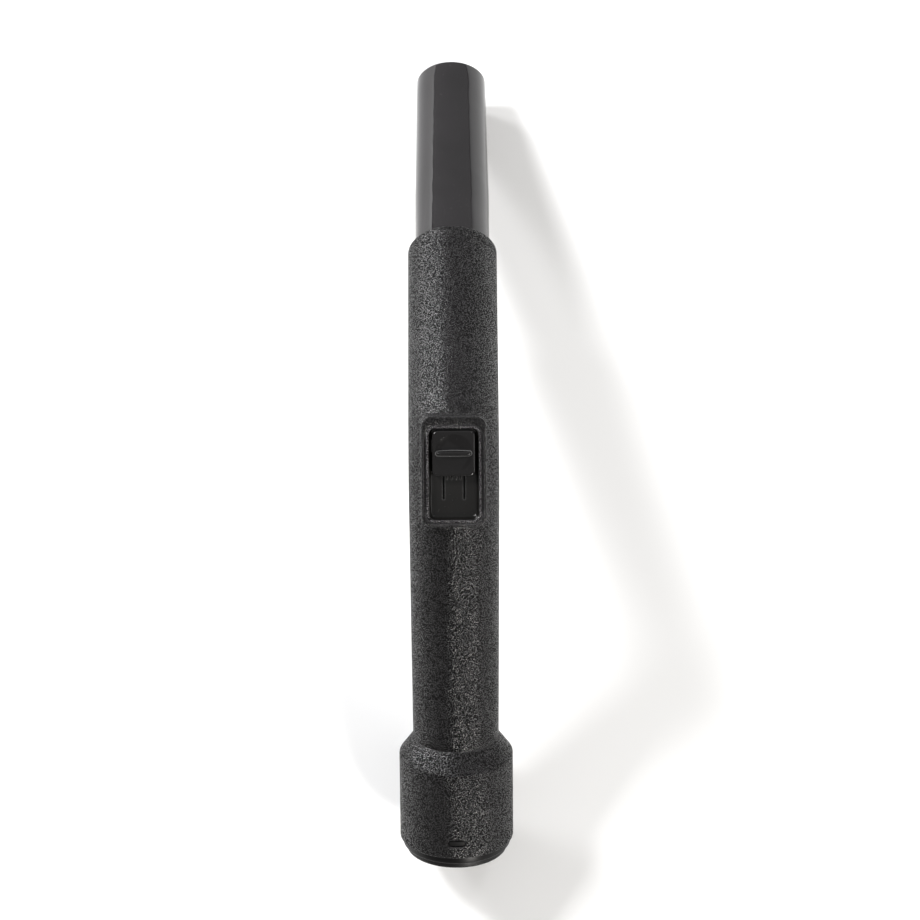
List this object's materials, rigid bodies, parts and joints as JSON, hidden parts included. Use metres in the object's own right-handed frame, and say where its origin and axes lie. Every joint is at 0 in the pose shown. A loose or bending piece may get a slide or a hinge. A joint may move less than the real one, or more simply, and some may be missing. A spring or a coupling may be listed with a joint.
{
  "type": "vacuum cleaner hose handle",
  "caption": "Bent black handle for a vacuum hose: tapered wand spigot, textured grip, sliding air regulator, flared collar and swivelling hose cuff.",
  "frame": {"origin": "centre of the grip's shoulder on the spigot's axis, where the wand's end stops", "axes": "+Y from the hose end towards the wand end, +Z out of the bend on the thumb side, X across the grip; the bend lies in the YZ plane and both ends lean down by 30.3 degrees"},
  "size_m": [0.0488, 0.3533, 0.1363],
  "materials": {
    "grip": "spark-eroded fine grain",
    "spigot_gloss": "polished",
    "ring_gloss": "satin gloss",
    "tray_gloss": "polished",
    "knob_gloss": "polished",
    "duct": "plain moulded",
    "seal_rubber": "soft",
    "washer_pom": "slippery acetal",
    "spring_steel": "bright"
  },
  "bodies": {
    "handle": {"grip_front_shell": "grip", "grip_rear_shell": "grip", "spigot_tube": "spigot_gloss", "duct_elbow": "duct", "upper_duct_seal": "seal_rubber", "lower_duct_seal": "seal_rubber", "hose_collar": "grip", "swivel_ring": "ring_gloss", "swivel_washer": "washer_pom", "swivel_seal": "seal_rubber", "regulator_tray": "tray_gloss", "regulator_gasket": "seal_rubber"},
    "regulator_slide": {"slide_knob": "knob_gloss", "slide_shutter": "duct", "detent_spring": "spring_steel"},
    "hose_swivel": {"hose_cuff": "ring_gloss", "cuff_circlip": "spring_steel"}
  },
  "joints": [
    {"name": "regulator_travel", "type": "slide", "parent": "handle", "child": "regulator_slide", "axis": [0, -0.9833, -0.1822], "range_m": [0, 0.0165]},
    {"name": "hose_turn", "type": "hinge", "parent": "handle", "child": "hose_swivel", "pos_m": [0, -0.24782, -0.03567], "axis": [0, -0.8634, -0.5045], "continuous": true}
  ]
}
